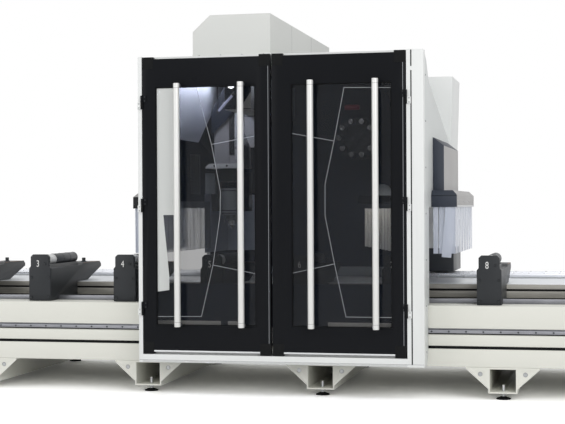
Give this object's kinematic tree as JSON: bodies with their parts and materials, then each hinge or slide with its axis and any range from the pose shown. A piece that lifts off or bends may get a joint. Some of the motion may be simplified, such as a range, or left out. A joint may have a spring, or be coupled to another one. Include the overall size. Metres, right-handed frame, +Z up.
{
  "type": "five-axis machining centre",
  "caption": "Profile machining centre: a long stepped bed with sliding pneumatic clamps and a travelling cabin with two glazed doors, strip-curtain tunnels and a swivelling tool head.",
  "frame": {"origin": "on the floor under the middle of the machine's bounding box", "axes": "+X along the bed to the operator's right, +Y from the doors to the back, +Z up"},
  "size_m": [7.2, 2.5028, 2.733],
  "materials": {
    "bed_paint": "powder-coated steel, warm off-white, semi-matt",
    "cabin_white": "powder-coated sheet steel, cool white, semi-matt",
    "cabin_grey": "powder-coated sheet steel, light grey, semi-matt",
    "cover_grey": "powder-coated sheet steel, pale grey, matt",
    "hood_slate": "powder-coated sheet steel, slate grey",
    "door_black": "black powder-coated frame, satin",
    "dark_glass": "smoke-tinted laminated safety glass",
    "handle_satin": "pale satin anodised tube",
    "curtain_strip": "translucent soft strip curtain",
    "clamp_black": "black powder-coated plate",
    "jaw_steel": "ground rod with a dark sleeve",
    "rail_steel": "ground and polished guide rail",
    "cast_grey": "painted casting, machined seats",
    "motor_dark": "dark painted housing",
    "tool_steel": "ground tool steel"
  },
  "bodies": {
    "bed": {"bed_beam": "bed_paint", "deck_beam": "bed_paint", "front_guide_rail": "rail_steel", "gantry_rail_inner": "rail_steel", "gantry_rail_outer": "rail_steel", "drive_rack": "rail_steel", "clamp_rail_front": "rail_steel", "clamp_rail_back": "rail_steel", "cross_beam_1": "bed_paint", "cross_beam_2": "bed_paint", "cross_beam_3": "bed_paint", "cross_beam_4": "bed_paint", "cross_beam_5": "bed_paint", "cross_beam_6": "bed_paint"},
    "gantry": {"gantry_column": "cast_grey", "x_drive_motor": "motor_dark", "cabin_frame": "cabin_white", "left_wall": "cabin_grey", "right_wall": "cabin_grey", "roof": "cabin_white", "rear_wall": "cabin_grey", "left_hood": "hood_slate", "right_hood": "hood_slate", "left_curtain": "curtain_strip", "right_curtain": "curtain_strip", "top_cover": "cover_grey", "chip_apron": "door_black", "electrical_cabinet": "cabin_white"},
    "pinion": {"drive_pinion": "tool_steel"},
    "y_slide": {"y_carriage": "cast_grey"},
    "ram": {"z_ram": "cover_grey"},
    "fork": {"c_fork": "motor_dark"},
    "spindle": {"spindle_head": "cast_grey"},
    "tool": {"tool_holder": "tool_steel"},
    "magazine": {"tool_magazine": "motor_dark"},
    "left_door": {"left_door_frame": "door_black", "left_door_glass": "dark_glass", "left_door_handle_outer": "handle_satin", "left_door_handle_inner": "handle_satin"},
    "right_door": {"right_door_frame": "door_black", "right_door_glass": "dark_glass", "right_door_handle_outer": "handle_satin", "right_door_handle_inner": "handle_satin"},
    "cabinet_door": {"cabinet_door": "cabin_white"},
    "clamp_1": {"clamp_1_body": "clamp_black"},
    "clamp_1_ram": {"clamp_1_jaw": "jaw_steel"},
    "clamp_2": {"clamp_2_body": "clamp_black"},
    "clamp_2_ram": {"clamp_2_jaw": "jaw_steel"},
    "clamp_3": {"clamp_3_body": "clamp_black"},
    "clamp_3_ram": {"clamp_3_jaw": "jaw_steel"},
    "clamp_4": {"clamp_4_body": "clamp_black"},
    "clamp_4_ram": {"clamp_4_jaw": "jaw_steel"},
    "clamp_5": {"clamp_5_body": "clamp_black"},
    "clamp_5_ram": {"clamp_5_jaw": "jaw_steel"},
    "clamp_6": {"clamp_6_body": "clamp_black"},
    "clamp_6_ram": {"clamp_6_jaw": "jaw_steel"},
    "clamp_7": {"clamp_7_body": "clamp_black"},
    "clamp_7_ram": {"clamp_7_jaw": "jaw_steel"},
    "clamp_8": {"clamp_8_body": "clamp_black"},
    "clamp_8_ram": {"clamp_8_jaw": "jaw_steel"}
  },
  "joints": [
    {"name": "x_axis", "type": "slide", "parent": "bed", "child": "gantry", "axis": [1, 0, 0], "range_m": [-2.7, 1.95]},
    {"name": "pinion_spin", "type": "hinge", "parent": "gantry", "child": "pinion", "pos_m": [0.4, 0.72781, 0.79], "axis": [0, 0, 1], "range_deg": [-3000, 2200]},
    {"name": "y_axis", "type": "slide", "parent": "gantry", "child": "y_slide", "axis": [0, 1, 0], "range_m": [-0.35, 0.35]},
    {"name": "z_axis", "type": "slide", "parent": "y_slide", "child": "ram", "axis": [0, 0, 1], "range_m": [-0.15, 0.2]},
    {"name": "c_axis", "type": "hinge", "parent": "ram", "child": "fork", "pos_m": [-0.23, -0.05689, 1.6], "axis": [0, 0, 1], "range_deg": [-200, 200]},
    {"name": "a_axis", "type": "hinge", "parent": "fork", "child": "spindle", "pos_m": [-0.23, -0.05689, 1.4], "axis": [1, 0, 0], "range_deg": [-110, 110]},
    {"name": "spindle_spin", "type": "hinge", "parent": "spindle", "child": "tool", "pos_m": [-0.23, -0.05689, 1.22], "axis": [0, 0, 1], "continuous": true},
    {"name": "magazine_turn", "type": "hinge", "parent": "gantry", "child": "magazine", "pos_m": [0.7, 0.45811, 1.9], "axis": [0, 1, 0], "continuous": true},
    {"name": "left_door_swing", "type": "hinge", "parent": "gantry", "child": "left_door", "pos_m": [-0.6005, -1.16619, 1.367], "axis": [0, 0, -1], "range_deg": [0, 110]},
    {"name": "right_door_swing", "type": "hinge", "parent": "gantry", "child": "right_door", "pos_m": [1.2985, -1.16619, 1.367], "axis": [0, 0, 1], "range_deg": [0, 110]},
    {"name": "cabinet_door_swing", "type": "hinge", "parent": "gantry", "child": "cabinet_door", "pos_m": [1.1313, 1.25141, 1.589], "axis": [0, 0, 1], "range_deg": [0, 110]},
    {"name": "clamp_1_slide", "type": "slide", "parent": "bed", "child": "clamp_1", "axis": [1, 0, 0], "range_m": [-0.2, 0.2]},
    {"name": "clamp_1_grip", "type": "slide", "parent": "clamp_1", "child": "clamp_1_ram", "axis": [0, 1, 0], "range_m": [0, 0.18]},
    {"name": "clamp_2_slide", "type": "slide", "parent": "bed", "child": "clamp_2", "axis": [1, 0, 0], "range_m": [-0.2, 0.2]},
    {"name": "clamp_2_grip", "type": "slide", "parent": "clamp_2", "child": "clamp_2_ram", "axis": [0, 1, 0], "range_m": [0, 0.18]},
    {"name": "clamp_3_slide", "type": "slide", "parent": "bed", "child": "clamp_3", "axis": [1, 0, 0], "range_m": [-0.2, 0.2]},
    {"name": "clamp_3_grip", "type": "slide", "parent": "clamp_3", "child": "clamp_3_ram", "axis": [0, 1, 0], "range_m": [0, 0.18]},
    {"name": "clamp_4_slide", "type": "slide", "parent": "bed", "child": "clamp_4", "axis": [1, 0, 0], "range_m": [-0.2, 0.2]},
    {"name": "clamp_4_grip", "type": "slide", "parent": "clamp_4", "child": "clamp_4_ram", "axis": [0, 1, 0], "range_m": [0, 0.18]},
    {"name": "clamp_5_slide", "type": "slide", "parent": "bed", "child": "clamp_5", "axis": [1, 0, 0], "range_m": [-0.2, 0.2]},
    {"name": "clamp_5_grip", "type": "slide", "parent": "clamp_5", "child": "clamp_5_ram", "axis": [0, 1, 0], "range_m": [0, 0.18]},
    {"name": "clamp_6_slide", "type": "slide", "parent": "bed", "child": "clamp_6", "axis": [1, 0, 0], "range_m": [-0.2, 0.2]},
    {"name": "clamp_6_grip", "type": "slide", "parent": "clamp_6", "child": "clamp_6_ram", "axis": [0, 1, 0], "range_m": [0, 0.18]},
    {"name": "clamp_7_slide", "type": "slide", "parent": "bed", "child": "clamp_7", "axis": [1, 0, 0], "range_m": [-0.2, 0.2]},
    {"name": "clamp_7_grip", "type": "slide", "parent": "clamp_7", "child": "clamp_7_ram", "axis": [0, 1, 0], "range_m": [0, 0.18]},
    {"name": "clamp_8_slide", "type": "slide", "parent": "bed", "child": "clamp_8", "axis": [1, 0, 0], "range_m": [-0.2, 0.2]},
    {"name": "clamp_8_grip", "type": "slide", "parent": "clamp_8", "child": "clamp_8_ram", "axis": [0, 1, 0], "range_m": [0, 0.18]}
  ],
  "couplings": [
    {"joint": "pinion_spin", "follows": "x_axis", "rad_per_m": 18.182}
  ]
}
